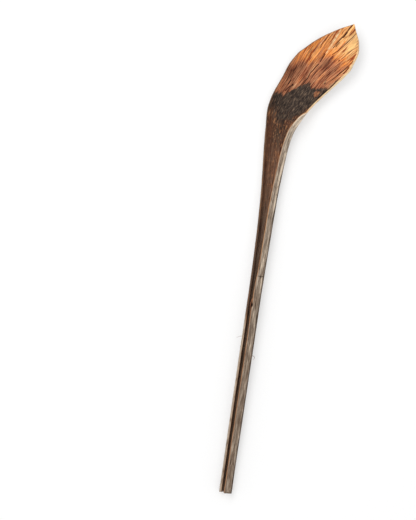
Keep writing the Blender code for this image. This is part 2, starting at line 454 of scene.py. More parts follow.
# loose fibres, each from its root: points as place, offset and height, the thickness, and how pale
HAIRS = (
    (((205, -7.2, 12.6), (205.5, -9.8, 15.4), (204.0, -13.6, 15.2), (201.5, -16.6, 12.8)), 0.24, 0.15),
    (((181, 7.0, 13.6), (183.0, 10.8, 15.6), (179.0, 12.4, 13.6), (176, 9.6, 12.0)), 0.34, 0.15),
    (((257, -2.0, 19.3), (251.0, -4.9, 19.2), (247.0, -5.2, 18.8), (237, -3.2, 18.2)), 0.34, 0.42),
    (((566, 19.3, 6.8), (567.5, 20.0, 8.6), (564.5, 21.0, 8.8), (562.5, 21.0, 7.0)), 0.20, 0.15),
    (((14, -7.6, 9.1), (10, -9.0, 10.3), (5, -9.4, 10.0), (1.5, -9.2, 8.6)), 0.12, 0.15),
    (((16, 6.6, 11.0), (11, 8.0, 12.4), (6, 8.4, 11.8), (1.5, 8.0, 10.2)), 0.12, 0.15),
    (((318, -8.0, 11.6), (322, -9.4, 13.2), (325, -10.0, 13.0), (328, -10.2, 12.2)), 0.12, 0.15),
    (((402, 8.4, 15.6), (406, 10.4, 17.0), (409, 11.6, 16.7), (412, 12.2, 15.7)), 0.12, 0.15),
)
SPLINTER_PLACES = (546, 622)  # where the splinters start
SPLINTER_FIBRES = (-26, 27)
SPLINTER_LENGTHS = (4, 15)
SPLINTER_CLEARANCE = 0.07  # from the inner face to a splinter's middle line at its root
FIBRE_POINTS = 14  # along each loose fibre
TUBE_SIDES = 6

# the stage: lengths in metres
FLOOR_RADIUS = 12.0
FLOOR_COLOUR = (0.55, 0.55, 0.55, 1.0)
WHITE = (1.0, 1.0, 1.0, 1.0)
VIEW_CENTRE = (-0.1008, -0.0171)  # what the camera looks straight down on
SENSOR = 36.0  # the camera's sensor, in millimetres
CAMERA_REACH = 50.0  # how far the camera sees
KEY_PLACE = (-0.9, 0.9, 1.9)
KEY_SIZE = 1.4
SEEN_SKY = 1.0  # the sky's strength where the camera sees it


# ---------------------------------------------------------------- curves and noise


def course(places, table):
    """The table's values at the places, on smooth curves that never overshoot a row (monotone cubics)."""
    rows = np.array(table, float)
    knots = rows[:, 0]
    values = rows[:, 1:]
    gaps = np.diff(knots)[:, None]
    slopes = np.diff(values, axis=0) / gaps
    before = slopes[:-1]
    after = slopes[1:]
    agree = before * after > 0
    tangents = np.vstack([slopes[:1], slopes[1:], slopes[-1:]])
    tangents[1:-1] = np.where(agree, 2 * before * after / np.where(agree, before + after, 1), 0)
    row = np.clip(np.searchsorted(knots, places, side="right") - 1, 0, len(gaps) - 1)
    gap = gaps[row]
    part = (places - knots[row])[..., None] / gap
    return (
        values[row] * (1 + 2 * part) * (1 - part) ** 2
        + values[row + 1] * part**2 * (3 - 2 * part)
        + tangents[row] * gap * part * (1 - part) ** 2
        - tangents[row + 1] * gap * part**2 * (1 - part)
    )


def running_sum(rates, step):
    """The integral of the rates along their last axis, from 0, by the trapezium rule."""
    middles = (rates[..., 1:] + rates[..., :-1]) / 2
    start = np.zeros(rates.shape[:-1] + (1,))
    return np.concatenate([start, np.cumsum(middles * step, axis=-1)], axis=-1)


def ease(value, low, high):
    """0 below low, 1 above high, and a smooth step between them."""
    part = np.clip((value - low) / (high - low), 0, 1)
    return part * part * (3 - 2 * part)


def noise(x, y, seed):
    """Smooth seeded noise from -1 to 1: a random value at each point of a lattice, and between them the
    four nearest values weighted by a quintic step along x and along y."""
    size = 512
    lattice = np.random.default_rng(seed).uniform(-1, 1, (size, size))
    x, y = np.broadcast_arrays(x, y)
    column = np.floor(x).astype(int)
    row = np.floor(y).astype(int)
    across = x - column
    along = y - row
    across = across**3 * (across * (across * 6 - 15) + 10)
    along = along**3 * (along * (along * 6 - 15) + 10)
    left, right = column % size, (column + 1) % size
    near, far = row % size, (row + 1) % size
    near_row = lattice[near, left] * (1 - across) + lattice[near, right] * across
    far_row = lattice[far, left] * (1 - across) + lattice[far, right] * across
    return near_row * (1 - along) + far_row * along


# ---------------------------------------------------------------- the wall


def spine(places):
    """Where the spine is, seen from above, and the direction across it to the right: its heading's sine
    and cosine, integrated from the foot."""
    step = 1.0
    along = np.arange(0, LENGTH + step, step)
    heading = np.radians(course(along, SPINE)[:, 0])
    x = running_sum(np.sin(heading), step)
    y = running_sum(np.cos(heading), step)
    heading = np.radians(course(places, SPINE)[:, 0])
    centre = np.stack([np.interp(places, along, x), np.interp(places, along, y)], axis=1)
    across = np.stack([np.cos(heading), -np.sin(heading)], axis=1)
    return centre, across


def half_course(side, width, roll, bow, fold, fold_place, spine_wall, rim_wall):
    """One half of each section, from the spine to the rim: its middle line, the direction out of the
    wall, half the wall's thickness, and the half's length.

    side is 1 on the right and -1 on the left. The middle line's direction starts at the roll and turns
    by the bow all along and by the fold around its place. The length is the largest that keeps the
    outer face within the outline's half width.
    """
    share = np.linspace(0, 1, STEPS + 1)
    folded = ease(share, fold_place - FOLD_REACH, fold_place + FOLD_REACH)
    turn = np.radians(roll + side * (bow * share + fold * folded))
    x = running_sum(side * np.cos(turn), share[1])
    z = running_sum(side * np.sin(turn), share[1])
    half_wall = (spine_wall + (rim_wall - spine_wall) * share) / 2
    out = np.stack([np.sin(turn), -np.cos(turn)], axis=2)
    reach = np.maximum(side * x, NEAR_SPINE)
    room = np.where(reach > NEAR_SPINE, (width - side * half_wall * out[:, :, 0]) / reach, np.inf)
    length = room.min(axis=1, keepdims=True)
    middle = np.stack([x, z], axis=2) * length[:, :, None]
    return middle, out, half_wall, length


def wall_course(places):
    """The wall's course at each place: both halves joined, from the left rim over the spine to the right
    rim, with the underside at its height. Gives the middle line, the direction out of the wall, half the
    wall's thickness, and the distance along the wall from the spine, left negative."""
    left_width, right_width = course(places, OUTLINE).T[:, :, None]
    roll, *turns = course(places, SECTION).T[:, :, None]
    left_wall, spine_wall, right_wall = course(places, WALL).T[:, :, None]
    left = half_course(-1, left_width, roll, *turns[:3], spine_wall, left_wall)
    right = half_course(1, right_width, roll, *turns[3:], spine_wall, right_wall)
    pairs = zip(left[:3], right[:3])
    middle, out, half_wall = (np.concatenate([one[:, ::-1], other[:, 1:]], axis=1) for one, other in pairs)
    underside = (middle[:, :, 1] + half_wall * out[:, :, 1]).min(axis=1)
    middle[:, :, 1] += (course(places, UNDERSIDE)[:, 0] - RESTING_FLAT - underside)[:, None]
    share = np.linspace(-1, 1, 2 * STEPS + 1)
    distance = np.where(share < 0, left[3], right[3]) * share
    return middle, out, half_wall, distance


def in_place(places, section):
    """Section points, as offset and height in mm, set on the spine at the places and put in metres."""
    centre, across = spine(places)
    plan = centre[:, None] + section[:, :, :1] * across[:, None] - np.array(ORIGIN)
    return np.concatenate([plan, section[:, :, 1:]], axis=2) * MM


def ring_places():
    """The places of the rings along the spine, from the RINGS table."""
    ends = [start for start, spacing in RINGS[1:]] + [LENGTH]
    runs = [np.arange(start, end - spacing / 2, spacing) for (start, spacing), end in zip(RINGS, ends)]
    return np.append(np.concatenate(runs), LENGTH)


def fibre_lines(places, distance):
    """The fibre coordinate of the wall: how far out a fibre runs, as a share of the half's length, which
    goes on growing past the widest place, so that fibres there run off the rim."""
    left = np.maximum.accumulate(-distance[:, 0])
    right = np.maximum.accumulate(distance[:, -1])
    fan = np.exp(FAN_RATE * np.maximum(places - FAN_FROM, 0))
    spread = np.where(distance < 0, left[:, None], right[:, None]) * fan[:, None]
    return distance / spread * FIBRE_REACH


def sample(grid, row, column):
    """The grid's values at places between its rows and columns, weighted from the four nearest."""
    top = np.clip(row.astype(int), 0, grid.shape[0] - 2)
    left = np.clip(column.astype(int), 0, grid.shape[1] - 2)
    down = (row - top)[..., None]
    across = (column - left)[..., None]
    near = grid[top, left] * (1 - across) + grid[top, left + 1] * across
    far = grid[top + 1, left] * (1 - across) + grid[top + 1, left + 1] * across
    return near * (1 - down) + far * down


def stroke(place, offset, points, width):
    """How strongly a line through the points is felt: a bell across it that fades at both ends."""
    line = np.array(points, float)
    centre = course(np.clip(place, line[0, 0], line[-1, 0]), line)[..., 0]
    fade = min(3.0, (line[-1, 0] - line[0, 0]) / 3)
    ends = ease(place, line[0, 0] - fade / 2, line[0, 0] + fade / 2)
    ends = ends * (1 - ease(place, line[-1, 0] - fade / 2, line[-1, 0] + fade / 2))
    return np.exp(-(((offset - centre) / width) ** 2)) * ends


def spot(place, offset, at, across, half_length, half_width):
    """How strongly a long oval spot is felt: a bell that is longer along the spine than across it."""
    return np.exp(-(((place - at) / half_length) ** 2) - ((offset - across) / half_width) ** 2)


def charring(place, offset):
    """How charred the inner face is: 1 between the band's ragged upper border and its lower one. The
    borders are soft here, and the material breaks them up along the fibres."""
    ragged = 2.6 * noise(offset / 2.2, place / 9, 11) + 1.6 * noise(offset / 0.8, place / 5, 12)
    above = np.interp(offset, *np.array(CHAR_ABOVE, float).T)
    below = np.interp(offset, *np.array(CHAR_BELOW, float).T)
    under_top = 1 - ease(place + 0.7 * ragged, above - 5, above + 5)
    over_bottom = ease(place + 1.6 * ragged, below - 16, below + 24)
    clean = ease(spot(place + 0.6 * ragged, offset + 0.6 * ragged, *CLEAN_PATCH), 0.15, 0.90)
    return under_top * over_bottom * (1 - clean)


def ripeness(place, offset, fibre):
    """How ripe the colour is, from the RIPENESS table, blended across the blade and streaked along it, with
    the brown stains taken off, and a patch of painted shade beside the dark groove at 582 to 595."""
    columns = course(place[:, 0], RIPENESS)
    knots = np.array(RIPE_ACROSS, float)
    position = np.interp(offset, knots, np.arange(len(knots)))
    ripe = sum(columns[:, [k]] * np.clip(1 - np.abs(position - k), 0, 1) for k in range(len(knots)))
    streaks = 0.6 * noise(fibre / 1.1, place / 26, 21) + 0.6 * noise(fibre / 0.55, place / 14, 22)
    clouds = noise(fibre / 5, place / 16, 23)
    calm = spot(place, offset, *CALM_WOOD)
    ripe = ripe + ripe * (1.15 - ripe) * ((0.34 - 0.12 * calm) * streaks + 0.12 * clouds)
    for at, across, half_length, half_width, taken in STAINS_AND_SHADE:
        ripe = ripe - taken * spot(place, offset + 0.8 * clouds, at, across, half_length, half_width)
    return ripe


def inner_face(place, offset, fibre, share):
    """The inner face's relief, in mm towards the hollow, and its masks: ribs and folds along the fibres,
    fine cracks, the charred band's crackle, and the grooves, ridges and pits of the tables. The throat has
    flecks and dark specks, and the face turns pale beside the blade's right rim."""
    blade = ease(place, 430, 520)
    wander = fibre + 0.35 * noise(fibre / 4, place / 22, 31)
    ribs = 0.6 * noise(wander / 1.05, place / 60, 32) + 0.5 * noise(wander / 0.55, place / 34, 33)
    folds = noise(wander / 4.5, place / 90, 34)
    rough = noise(fibre / 0.7, place / 3.2, 35)
    char = charring(place, offset)
    relief = (0.15 + 0.09 * blade) * ribs + (0.16 + 0.18 * blade) * folds
    relief = relief + (0.03 + 0.09 * char) * rough
    shade_and_dark_marks = np.zeros_like(relief)
    pale = np.zeros_like(relief)
    waver = offset + 0.25 * noise(0.0, place / 4, 36)
    for points, width, depth, dark in GROOVES:
        felt = stroke(place, waver, points, width)
        relief = relief - depth * felt
        # painted shade inside the groove
        shade_and_dark_marks = np.maximum(shade_and_dark_marks, dark * ease(felt, 0.15, 0.70))
    for points, width, height, light in RIDGES:
        felt = stroke(place, waver, points, width)
        relief = relief + height * felt
        # pale fibre along the ridge, with painted highlight on its top
        pale = np.maximum(pale, light * felt * (0.7 + 0.5 * noise(fibre / 0.6, place / 2.5, 39)))
    for at, across, radius, depth, dark in PITS:
        felt = spot(place, offset, at, across, 1.5 * radius, radius)
        relief = relief - depth * felt
        # painted shade in the pit's hollow
        shade_and_dark_marks = np.maximum(shade_and_dark_marks, np.minimum(dark * felt, 1))
    fleck = np.zeros_like(relief)
    for at, across, half_length in FLECKS:
        fleck = np.maximum(fleck, spot(place, offset + 0.3 * rough, at, across, half_length, 0.9))
    throat = ease(place, 290, 400) * (1 - ease(place, 505, 520))
    specks = ease(noise(fibre / 1.0, place / 2.3, 37), 0.20, 0.50) * throat
    fleck = np.maximum(fleck, 0.55 * specks)
    shade_and_dark_marks = np.maximum(shade_and_dark_marks, 0.45 * ease(noise(fibre / 1.0, place / 3.0, 40), 0.25, 0.6) * throat)
    smooth = ease(spot(place, offset, *SMOOTH_PANEL), 0.25, 0.6)
    cracks = ease(noise(wander / 0.8, place / 22, 38), 0.55, 0.8) * (1 - smooth)
    ripe = ripeness(place, offset, wander)
    # painted shade in the fine cracks
    shade_and_dark_marks = np.maximum(shade_and_dark_marks, 0.45 * cracks * (0.5 + 0.5 * blade) * (1 - ease(ripe, 0.35, 0.7)))
    relief = relief - 0.18 * cracks
    fresh_rim = ease(share + 0.02 * rough, *FRESH_RIM) * ease(place, 556, 578) * (1 - ease(place, 622, 636))
    masks = {
        "ripe": ripe - 0.25 * cracks,
        "char": char,
        "bleach": course(place[:, 0], INSIDE_GREY) + np.zeros_like(relief),
        "shade_and_dark_marks": shade_and_dark_marks,
        "pale": np.maximum(pale, fresh_rim),
        "smooth": smooth,
        "fleck": fleck,
        # painted shade in the ribs' hollows and painted highlight on their tops, from the same noise as the
        # ribs' relief
        "rib_shading": ribs * 0.5 + 0.5,
    }
    return relief * (1 - np.abs(share) ** EDGE_FADE), masks


def outer_face(place, fibre, share):
    """The outer face's relief, in mm out of the wall and never above 0, and its masks: fine furrows along
    the fibres, shallow folds, long cracks, and a crack across the stalk's right side. How bleached it is
    runs from the left rim over the spine to the right rim, varied by noise and by the streaks and chips of
    the tables."""
    furrows = 0.5 * noise(fibre / 0.9, place / 50, 41) + 0.5 * noise(fibre / 0.45, place / 28, 42)
    folds = noise(fibre / 3.5, place / 70, 43)
    rough = noise(fibre / 0.8, place / 5, 44)
    cracks = ease(noise(fibre / 0.9, place / 30, 45), 0.5, 0.75)
    across = ease(spot(place + 0.7 * noise(fibre / 1.6, 0.5, 49), fibre, *CROSS_CRACK), 0.15, 0.75)
    relief = 0.13 * furrows + 0.15 * folds + 0.03 * rough - 0.28 * cracks - 0.30 - 0.6 * across
    bleach = course(place[:, 0], BLEACHING)
    left = ease(-share, 0.35, 0.65)
    begins = course(place[:, 0], BLEACH_FROM)
    right = ease(share, begins, begins + 0.10)
    tone = bleach[:, [0]] * left + bleach[:, [1]] * (1 - left - right) + bleach[:, [2]] * right
    streaks = 0.6 * noise(fibre / 1.3, place / 60, 46) + 0.5 * noise(fibre / 0.6, place / 35, 47)
    blotches = noise(fibre / 3, place / 12, 48)
    bright = np.zeros_like(relief)
    for points, width, light in BRIGHT_STREAKS:
        bright = np.maximum(bright, light * stroke(place, fibre + 0.3 * blotches, points, width))
    for chip in CHIPS:
        bright = np.maximum(bright, 0.7 * spot(place, fibre + 0.4 * rough, *chip))
    dark = np.zeros_like(relief)
    broken = 0.8 + 0.5 * rough
    for points, width, depth in DARK_STREAKS_AND_SHADE:
        dark = np.maximum(dark, depth * broken * stroke(place, fibre + 0.4 * blotches, points, width))
    masks = {
        "bleach": tone + 0.20 * streaks + 0.10 * blotches + bright,
        # painted shade inside the long cracks and the crack across the stalk, with the dark streaks
        "shade_and_dark_marks": np.maximum(np.maximum(0.6 * cracks, 0.85 * across), dark),
        # painted shade in the furrows and painted highlight between them, from the same noise as the furrows'
        # relief
        "rib_shading": furrows * 0.5 + 0.5,
        "edge": ease(np.abs(share), 0.90, 1.0),
    }
    return np.minimum(relief, 0) * (1 - np.abs(share) ** EDGE_FADE), masks


# ---------------------------------------------------------------- meshes


def new_piece(name, points, faces, kinds, materials, maps, values):
    """A smooth-shaded mesh object at the origin, put on its body and in the frond's place.

    points are in metres. faces is a list of arrays of point numbers, kinds holds each array's material
    numbers, maps holds for each UV map one array for each array of faces, and values holds one number
    for each point by attribute name."""
    mesh = bpy.data.meshes.new(name)
    corners = np.concatenate([part.ravel() for part in faces])
    sizes = np.concatenate([np.full(len(part), part.shape[1]) for part in faces])
    mesh.vertices.add(len(points))
    mesh.vertices.foreach_set("co", points.astype(np.float32).ravel())
    mesh.loops.add(len(corners))
    mesh.loops.foreach_set("vertex_index", corners.astype(np.int32))
    mesh.polygons.add(len(sizes))
    mesh.polygons.foreach_set("loop_start", (np.cumsum(sizes) - sizes).astype(np.int32))
    for material in materials:
        mesh.materials.append(material)
    mesh.polygons.foreach_set("material_index", np.concatenate(kinds).astype(np.int32))
    mesh.update(calc_edges=True)
    for map_name, parts in maps.items():
        layer = mesh.uv_layers.new(name=map_name)
        layer.data.foreach_set("uv", np.concatenate([part.ravel() for part in parts]).astype(np.float32))
    for value_name, array in values.items():
        attribute = mesh.attributes.new(value_name, "FLOAT", "POINT")
        attribute.data.foreach_set("value", array.astype(np.float32).ravel())
    mesh.shade_smooth()
    piece = bpy.data.objects.new(name, mesh)
    bpy.context.scene.collection.objects.link(piece)
    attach(piece, BODY)
    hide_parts(NODE)
    return piece


def rim_parts():
    """How far through the wall each of a rim's points is, and how far it stands out: a half oval."""
    angle = np.linspace(-np.pi / 2, np.pi / 2, RIM_POINTS + 2)[1:-1]
    return (1 + np.sin(angle)) / 2, np.cos(angle) ** RIM_SQUARENESS


def rim_wear(places, side):
    """How much of a rim is worn away, in mm: uneven along the frond, and a notch in the right rim."""
    worn = 0.25 + 0.22 * noise(places / 7, 2.5, 50 + side) + 0.12 * noise(places / 1.9, 2.5, 53 + side)
    at, half_length, depth = NOTCH
    return worn + (depth * np.exp(-(((places - at) / half_length) ** 2)) if side > 0 else 0)


def wall_sections(places):
    """The closed section lines of the wall: the outer face from the left rim to the right one, the right
    rim's edge, the inner face back, and the left rim's edge. Each rim's edge is a half oval from one face to
    the other, and its inner side is dark at the notch. Gives the points as offset and height, the masks, the
    fibre coordinate, and the columns where the zones start."""
    middle, out, half_wall, distance = wall_course(places)
    share = np.linspace(-1, 1, 2 * STEPS + 1) + np.zeros_like(distance)
    place = places[:, None] + np.zeros_like(distance)
    fibre = fibre_lines(places, distance)
    half = np.where(share < 0, -distance[:, :1], distance[:, -1:])
    rounding = np.minimum(RIM_ROUNDING, half / 4)
    worn = np.where(share < 0, rim_wear(places, -1)[:, None], rim_wear(places, 1)[:, None])
    kept = 1 - np.minimum(rounding + worn, half / 2) / half
    row = np.arange(len(places))[:, None] + np.zeros_like(share)
    trimmed = [sample(grid, row, STEPS * (1 + share * kept)) for grid in (middle, out, half_wall[:, :, None])]
    middle, out, half_wall = trimmed[0], trimmed[1], trimmed[2][:, :, 0]
    fibre = fibre * kept

    columns = slice(None, None, OUTER_STRIDE)
    relief, outer_masks = outer_face(place[:, columns], fibre[:, columns], share[:, columns])
    level = (half_wall[:, columns] + relief)[:, :, None]
    outer = middle[:, columns] + out[:, columns] * level
    outer[:, :, 1] = np.maximum(outer[:, :, 1], 0)
    outer_fibre = fibre[:, columns]

    columns = slice(None, None, -INNER_STRIDE)
    offset = middle[:, columns, 0]
    relief, inner_masks = inner_face(place[:, columns], offset, fibre[:, columns], share[:, columns])
    level = (half_wall[:, columns] + relief)[:, :, None]
    inner = middle[:, columns] - out[:, columns] * level
    inner_fibre = fibre[:, columns]

    part, bulge = rim_parts()

    def rim(first, last, column, side):
        """One rim's points, from the first face's last point to the last face's first, bulging outwards."""
        along = first[:, None] * (1 - part)[:, None] + last[:, None] * part[:, None]
        beyond = side * np.stack([-out[:, column, 1], out[:, column, 0]], axis=1)
        return along + beyond[:, None] * (bulge * rounding[:, [column]])[:, :, None]

    right_rim = rim(outer[:, -1], inner[:, 0], -1, 1)
    left_rim = rim(inner[:, -1], outer[:, 0], 0, -1)
    through = FIBRE_REACH + 2 * half_wall[:, [0]] * part
    section = np.concatenate([outer, right_rim, inner, left_rim], axis=1)
    fibres = np.concatenate([outer_fibre, through, inner_fibre, through], axis=1)
    zones = np.cumsum([0, outer.shape[1], RIM_POINTS, inner.shape[1], RIM_POINTS])
    rims = course(places, RIMS)
    masks = {name: np.zeros(fibres.shape) for name in MASKS}
    for name, found in outer_masks.items():
        masks[name][:, zones[0] : zones[1]] = found
    for name, found in inner_masks.items():
        masks[name][:, zones[2] : zones[3]] = found
    for first, last, outward, (wood, skin, bleach) in (
        (zones[1], zones[2], 1 - part, rims[:, 3:].T[:, :, None]),
        (zones[3], zones[3] + RIM_POINTS, part, rims[:, :3].T[:, :, None]),
    ):
        masks["tone"][:, first:last] = wood
        masks["edge"][:, first:last] = ease(outward, 1 - skin - 0.12, 1 - skin + 0.12)
        masks["bleach"][:, first:last] = bleach
    # painted shade on the rim's inner side at the notch, the dark slit of the broken rim
    at, half_length, _ = NOTCH
    notched = ease(np.exp(-(((places - at) / half_length) ** 2)), 0.3, 0.8)[:, None]
    masks["shade_and_dark_marks"][:, zones[1] : zones[2]] = notched * ease(part, 0.1, 0.5)
    return section, masks, fibres, zones


def end_cap(points, ring, zones, first_new, depth, flipped):
    """A grid that closes one end of the wall between its outer and its inner line. Its rows end on the
    rims' points. The outer line has half as many columns, so three triangles join each of its steps to
    two of the first row's. The new points lie on straight lines through the wall, pressed in unevenly.

    Gives the new points, the quads and triangles, and their corners' places along and through the wall."""
    outer = ring[zones[0] : zones[1]]
    inner = ring[zones[2] : zones[3]][::-1]
    columns = len(inner)
    part, _ = rim_parts()
    grid = np.empty((RIM_POINTS + 1, columns), int)
    grid[:-1, 0] = ring[zones[3] :][::-1]
    grid[:-1, -1] = ring[zones[1] : zones[2]]
    grid[-1] = inner
    grid[:-1, 1:-1] = first_new + np.arange(RIM_POINTS * (columns - 2)).reshape(RIM_POINTS, -1)
    along = np.linspace(0, 1, columns)
    outer_line = np.stack([np.interp(along, along[::2], points[outer, k]) for k in range(3)], axis=1)
    through = part[:, None, None]
    fresh = (outer_line * (1 - through) + points[inner] * through)[:, 1:-1]
    uneven = 0.5 + 0.5 * noise(along[None, 1:-1] * 60, part[:, None] * 5, 61)
    fresh[:, :, 1] += depth * MM * uneven * np.sin(np.pi * part)[:, None]

    local = len(outer) + np.arange(grid.size).reshape(grid.shape)
    near = np.arange(len(outer) - 1)
    left, mid, right = local[0, :-1:2], local[0, 1::2], local[0, 2::2]
    fans = [(near, mid, left), (near, near + 1, mid), (near + 1, right, mid)]
    triangles = np.concatenate([np.stack(fan, axis=1) for fan in fans])
    quads = np.stack([local[:-1, :-1], local[:-1, 1:], local[1:, 1:], local[1:, :-1]], axis=2).reshape(-1, 4)
    if flipped:
        quads = quads[:, ::-1]
        triangles = triangles[:, ::-1]
    number = np.concatenate([outer, grid.ravel()])
    rows = np.concatenate([part, [1.0]])[:, None] + np.zeros(columns)
    outer_places = np.stack([along[::2], np.zeros(len(outer))], axis=1)
    grid_places = np.stack([along + np.zeros_like(rows), rows], axis=2).reshape(-1, 2)
    place = np.concatenate([outer_places, grid_places])
    return fresh.reshape(-1, 3), number[quads], number[triangles], place[quads], place[triangles]


def bake_corners(places, section, wall_quads_shape):
    """Where each wall face's corners lie on the bake's map: the wall is cut at BAKE_CUT into two lengths
    laid side by side, each unrolled by its distance around the section, with no overlap."""
    closed = np.concatenate([section, section[:, :1]], axis=1)
    around = running_lengths(closed)
    split = np.searchsorted(places, BAKE_CUT)
    first_width = around[: split + 1].max()
    whole_width = first_width + around[split:].max() + 2 * BAKE_GAP
    tall = max(places[split], LENGTH - places[split])
    corners = []
    for begin, end, left, bottom in (
        (0, split + 1, 0.0, 0.0),
        (split, len(places), first_width + BAKE_GAP, places[split]),
    ):
        x = (left + around[begin:end]) / whole_width
        y = (places[begin:end, None] - bottom) / tall * BAKE_SHARE + np.zeros_like(x)
        grid = np.stack([x, y], axis=2)
        corners.append(np.stack([grid[:-1, :-1], grid[1:, :-1], grid[1:, 1:], grid[:-1, 1:]], axis=2))
    return np.concatenate(corners).reshape(wall_quads_shape + (2,))


def running_lengths(lines):
    """The distance run along each line of points, from its first point."""
    steps = np.linalg.norm(np.diff(lines, axis=1), axis=2)
    return np.concatenate([np.zeros((len(lines), 1)), np.cumsum(steps, axis=1)], axis=1)


def make_shell(materials):
    """The whole wall as one closed piece: quads between the section lines, and a grid over each end."""
    places = ring_places()
    section, masks, fibres, zones = wall_sections(places)
    count, around = fibres.shape
    points = in_place(places, section).reshape(-1, 3)
    number = np.arange(count * around).reshape(count, around)
    after = np.roll(number, -1, axis=1)
    walls = np.stack([number[:-1], number[1:], after[1:], after[:-1]], axis=2).reshape(-1, 4)
    foot = end_cap(points, number[0], zones, len(points), FOOT_UNEVENNESS, False)
    tip = end_cap(points, number[-1], zones, len(points) + len(foot[0]), 0.0, True)
    faces = [walls, foot[1], foot[2], tip[1], tip[2]]

    wall_kind = np.repeat([OUTER, RIM, INNER, RIM], np.diff(zones))
    wall_kind[zones[1] - 1] = RIM
    wall_kind[zones[3] - 1] = RIM
    kinds = [np.tile(wall_kind, count - 1)]
    kinds += [np.full(len(part), kind) for part, kind in zip(faces[1:], (FOOT, FOOT, RIM, RIM))]

    flat = np.stack([fibres, places[:, None] + np.zeros_like(fibres)], axis=2).reshape(-1, 2) * MM
    cap_size = np.array([section_length(section, zones), WALL[0][2]]) * MM
    along_fibres = [flat[walls]] + [part * cap_size for part in foot[3:] + tip[3:]]
    bake = [bake_corners(places, section, walls.shape)]
    cap_scale = np.array([BAKE_CAP_WIDTH, BAKE_CAP_HEIGHT])
    for cap, row in ((foot, 0), (tip, 1)):
        corner = np.array([0.5, BAKE_SHARE + 0.01 + row * 2 * BAKE_CAP_HEIGHT])
        bake += [part * cap_scale + corner for part in cap[3:]]

    extra = len(foot[0]) + len(tip[0])
    values = {}
    for name, found in masks.items():
        on_caps = 0.0 if name == "shade_and_dark_marks" else 0.5
        values[name] = np.append(found.ravel(), np.full(extra, on_caps))
    points = np.concatenate([points, foot[0], tip[0]])
    maps = {"fibre": along_fibres, "OFBake": bake}
    return new_piece("frond_shell", points, faces, kinds, materials, maps, values)


def section_length(section, zones):
    """The length of the outer face's line at the foot, in mm."""
    return running_lengths(section[:1, zones[0] : zones[1]])[0, -1]


# ---------------------------------------------------------------- loose fibres


def splinter_lines(count):
    """Splinters that lie along the inner face, one row of points for each: a seeded place and fibre, and
    a height above the face that rises with the square of the share run, from the root to the loose end.
    Gives the lines, their radius and how ripe their colour is."""
    chance = np.random.default_rng(71)
    places = ring_places()
    section, masks, fibres, zones = wall_sections(places)
    inner = section[:, zones[2] : zones[3]]
    reach = fibres[:, [zones[2], zones[3] - 1]]
    start = chance.uniform(*SPLINTER_PLACES, count)
    length = chance.uniform(*SPLINTER_LENGTHS, count)
    fibre = chance.uniform(*SPLINTER_FIBRES, count)
    part = np.linspace(0, 1, FIBRE_POINTS)
    place = start[:, None] + length[:, None] * part
    row = np.interp(place, places, np.arange(len(places)))
    right_reach = np.interp(place, places, reach[:, 0])
    left_reach = -np.interp(place, places, reach[:, 1])
    rim = np.where(fibre[:, None] < 0, left_reach, right_reach)
    share = np.clip(fibre[:, None] / np.maximum(rim, 1.0), -0.97, 0.97)
    column = (1 - share) / 2 * (inner.shape[1] - 1)
    points = sample(inner, row, column)
    points[:, :, 1] += chance.uniform(0.2, 0.9, count)[:, None] * part**2 + SPLINTER_CLEARANCE
    points[:, :, 0] += chance.uniform(-0.8, 0.8, count)[:, None] * part**2
    lines = in_place(place.ravel(), points.reshape(-1, 1, 2)).reshape(count, -1, 3)
    thickness = chance.uniform(0.07, 0.15, count)[:, None] * np.sqrt(np.maximum(1.02 - part, 0))
    ripe = sample(masks["ripe"][:, zones[2] : zones[3], None], row, column)[:, :, 0]
    return lines, thickness * MM, ripe * 0.9 + chance.uniform(-0.15, 0.2, count)[:, None]


def hair_lines():
    """The loose fibres of the HAIRS table, one row of points for each, on the cubic Bezier curve that its
    four points steer, thinning towards the loose end. Gives the same as splinter_lines."""
    part = np.linspace(0, 1, FIBRE_POINTS)
    rest = 1 - part
    weights = np.stack([rest**3, 3 * rest**2 * part, 3 * rest * part**2, part**3], axis=1)
    paths = [weights @ np.array(points, float) for points, *_ in HAIRS]
    lines = [in_place(path[:, 0], path[:, None, 1:])[:, 0] for path in paths]
    thickness, tone = np.array([ends for _, *ends in HAIRS]).T[:, :, None]
    return np.array(lines), thickness * np.sqrt(1.02 - part) * MM, tone + np.zeros_like(part)


def make_fibres(materials, count):
    """All loose fibres as one piece: thin closed tubes, whose ring around each point stands across the
    line's direction."""
    lines, radius, ripe = (np.concatenate(pair) for pair in zip(hair_lines(), splinter_lines(count)))
    fibres, points = radius.shape
    along = np.gradient(lines, axis=1)
    along /= np.linalg.norm(along, axis=2, keepdims=True)
    side = np.cross(along, (0.0, 0.0, 1.0))
    side /= np.linalg.norm(side, axis=2, keepdims=True)
    up = np.cross(side, along)
    angle = np.arange(TUBE_SIDES) / TUBE_SIDES * 2 * np.pi
    ring = np.cos(angle)[:, None] * side[:, :, None] + np.sin(angle)[:, None] * up[:, :, None]
    tubes = lines[:, :, None] + radius[:, :, None, None] * ring
    number = np.arange(tubes.size // 3).reshape(fibres, points, TUBE_SIDES)
    after = np.roll(number, -1, axis=2)
    walls = np.stack([number[:, :-1], number[:, 1:], after[:, 1:], after[:, :-1]], axis=3).reshape(-1, 4)
    roots = number[:, 0]
    tips = number[:, -1, ::-1]
    faces = [walls, roots, tips]
    kinds = [np.zeros(len(part), int) for part in faces]
    values = {"ripe": np.repeat(ripe.ravel(), TUBE_SIDES)}
    return new_piece("loose_fibres", tubes.reshape(-1, 3), faces, kinds, materials, {}, values)


# ---------------------------------------------------------------- node helpers

# the streaked group's streaks: how much wider and longer than its inputs say, and their share
STREAK_PARTS = ((1.0, 1.0, 0.4), (3.1, 2.3, 0.3), (0.36, 0.7, 0.3))
STREAK_GAIN = 2.6


